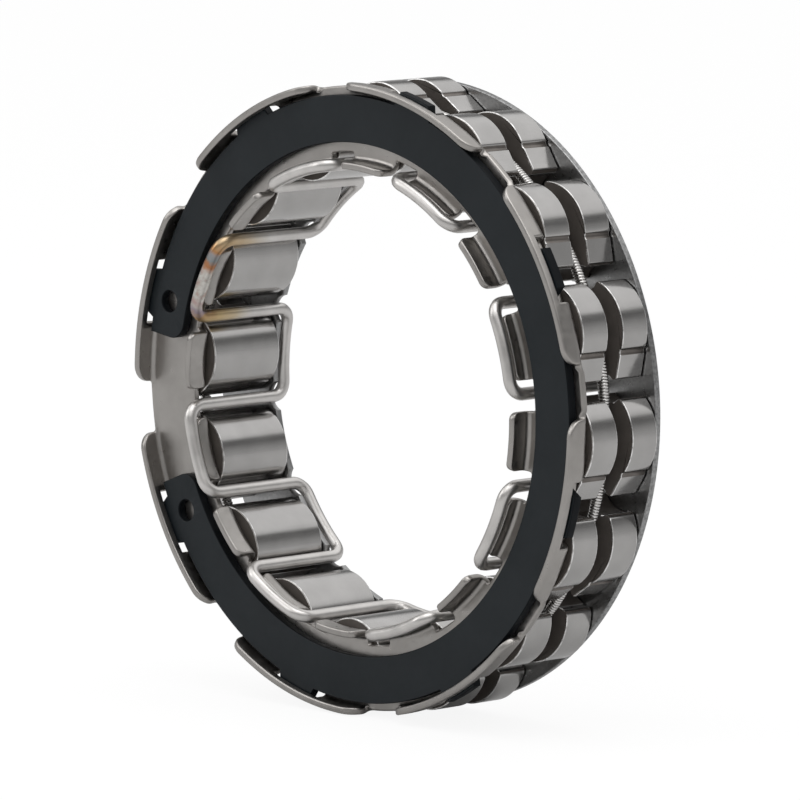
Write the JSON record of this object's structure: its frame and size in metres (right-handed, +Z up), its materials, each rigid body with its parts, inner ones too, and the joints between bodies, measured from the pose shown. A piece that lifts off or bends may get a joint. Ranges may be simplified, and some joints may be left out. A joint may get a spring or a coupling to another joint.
{
  "type": "sprag clutch bearing",
  "caption": "One-way clutch bearing: rocking sprags in a pressed steel cage, tied by a zigzag wire, with a black snap clip and a garter spring.",
  "frame": {"origin": "on the ring axis, at the middle of the sprags' length", "axes": "+Y along the ring axis from the clip side to the rear ring, +Z up, the ring standing on its rim"},
  "size_m": [0.0746, 0.0171, 0.0746],
  "materials": {
    "cage_steel": "satin",
    "black_steel": "satin",
    "bright_wire": "gloss",
    "spring_wire": "gloss",
    "dark_steel": "satin",
    "sprag_steel": "satin"
  },
  "bodies": {
    "cage": {"front_cage": "cage_steel", "snap_clip": "black_steel", "zigzag_wire": "bright_wire", "garter_spring": "spring_wire", "rear_ring": "dark_steel"},
    "sprag_01": {"sprag_01": "sprag_steel"},
    "sprag_02": {"sprag_02": "sprag_steel"},
    "sprag_03": {"sprag_03": "sprag_steel"},
    "sprag_04": {"sprag_04": "sprag_steel"},
    "sprag_05": {"sprag_05": "sprag_steel"},
    "sprag_06": {"sprag_06": "sprag_steel"},
    "sprag_07": {"sprag_07": "sprag_steel"},
    "sprag_08": {"sprag_08": "sprag_steel"},
    "sprag_09": {"sprag_09": "sprag_steel"},
    "sprag_10": {"sprag_10": "sprag_steel"},
    "sprag_11": {"sprag_11": "sprag_steel"},
    "sprag_12": {"sprag_12": "sprag_steel"},
    "sprag_13": {"sprag_13": "sprag_steel"},
    "sprag_14": {"sprag_14": "sprag_steel"},
    "sprag_15": {"sprag_15": "sprag_steel"},
    "sprag_16": {"sprag_16": "sprag_steel"}
  },
  "joints": [
    {"name": "rock_01", "type": "hinge", "parent": "cage", "child": "sprag_01", "pos_m": [0.00263, 0, 0.03169], "axis": [0, 1, 0], "range_deg": [-9, 0], "stiffness_Nm_per_rad": 0.005},
    {"name": "rock_02", "type": "hinge", "parent": "cage", "child": "sprag_02", "pos_m": [0.01456, 0, 0.02827], "axis": [0, 1, 0], "range_deg": [-9, 0], "stiffness_Nm_per_rad": 0.005},
    {"name": "rock_03", "type": "hinge", "parent": "cage", "child": "sprag_03", "pos_m": [0.02427, 0, 0.02055], "axis": [0, 1, 0], "range_deg": [-9, 0], "stiffness_Nm_per_rad": 0.005},
    {"name": "rock_04", "type": "hinge", "parent": "cage", "child": "sprag_04", "pos_m": [0.03029, 0, 0.00969], "axis": [0, 1, 0], "range_deg": [-9, 0], "stiffness_Nm_per_rad": 0.005},
    {"name": "rock_05", "type": "hinge", "parent": "cage", "child": "sprag_05", "pos_m": [0.03169, 0, -0.00263], "axis": [0, 1, 0], "range_deg": [-9, 0], "stiffness_Nm_per_rad": 0.005},
    {"name": "rock_06", "type": "hinge", "parent": "cage", "child": "sprag_06", "pos_m": [0.02827, 0, -0.01456], "axis": [0, 1, 0], "range_deg": [-9, 0], "stiffness_Nm_per_rad": 0.005},
    {"name": "rock_07", "type": "hinge", "parent": "cage", "child": "sprag_07", "pos_m": [0.02055, 0, -0.02427], "axis": [0, 1, 0], "range_deg": [-9, 0], "stiffness_Nm_per_rad": 0.005},
    {"name": "rock_08", "type": "hinge", "parent": "cage", "child": "sprag_08", "pos_m": [0.00969, 0, -0.03029], "axis": [0, 1, 0], "range_deg": [-9, 0], "stiffness_Nm_per_rad": 0.005},
    {"name": "rock_09", "type": "hinge", "parent": "cage", "child": "sprag_09", "pos_m": [-0.00263, 0, -0.03169], "axis": [0, 1, 0], "range_deg": [-9, 0], "stiffness_Nm_per_rad": 0.005},
    {"name": "rock_10", "type": "hinge", "parent": "cage", "child": "sprag_10", "pos_m": [-0.01456, 0, -0.02827], "axis": [0, 1, 0], "range_deg": [-9, 0], "stiffness_Nm_per_rad": 0.005},
    {"name": "rock_11", "type": "hinge", "parent": "cage", "child": "sprag_11", "pos_m": [-0.02427, 0, -0.02055], "axis": [0, 1, 0], "range_deg": [-9, 0], "stiffness_Nm_per_rad": 0.005},
    {"name": "rock_12", "type": "hinge", "parent": "cage", "child": "sprag_12", "pos_m": [-0.03029, 0, -0.00969], "axis": [0, 1, 0], "range_deg": [-9, 0], "stiffness_Nm_per_rad": 0.005},
    {"name": "rock_13", "type": "hinge", "parent": "cage", "child": "sprag_13", "pos_m": [-0.03169, 0, 0.00263], "axis": [0, 1, 0], "range_deg": [-9, 0], "stiffness_Nm_per_rad": 0.005},
    {"name": "rock_14", "type": "hinge", "parent": "cage", "child": "sprag_14", "pos_m": [-0.02827, 0, 0.01456], "axis": [0, 1, 0], "range_deg": [-9, 0], "stiffness_Nm_per_rad": 0.005},
    {"name": "rock_15", "type": "hinge", "parent": "cage", "child": "sprag_15", "pos_m": [-0.02055, 0, 0.02427], "axis": [0, 1, 0], "range_deg": [-9, 0], "stiffness_Nm_per_rad": 0.005},
    {"name": "rock_16", "type": "hinge", "parent": "cage", "child": "sprag_16", "pos_m": [-0.00969, 0, 0.03029], "axis": [0, 1, 0], "range_deg": [-9, 0], "stiffness_Nm_per_rad": 0.005}
  ],
  "couplings": [
    {"joint": "rock_02", "follows": "rock_01", "ratio": 1},
    {"joint": "rock_03", "follows": "rock_01", "ratio": 1},
    {"joint": "rock_04", "follows": "rock_01", "ratio": 1},
    {"joint": "rock_05", "follows": "rock_01", "ratio": 1},
    {"joint": "rock_06", "follows": "rock_01", "ratio": 1},
    {"joint": "rock_07", "follows": "rock_01", "ratio": 1},
    {"joint": "rock_08", "follows": "rock_01", "ratio": 1},
    {"joint": "rock_09", "follows": "rock_01", "ratio": 1},
    {"joint": "rock_10", "follows": "rock_01", "ratio": 1},
    {"joint": "rock_11", "follows": "rock_01", "ratio": 1},
    {"joint": "rock_12", "follows": "rock_01", "ratio": 1},
    {"joint": "rock_13", "follows": "rock_01", "ratio": 1},
    {"joint": "rock_14", "follows": "rock_01", "ratio": 1},
    {"joint": "rock_15", "follows": "rock_01", "ratio": 1},
    {"joint": "rock_16", "follows": "rock_01", "ratio": 1}
  ]
}
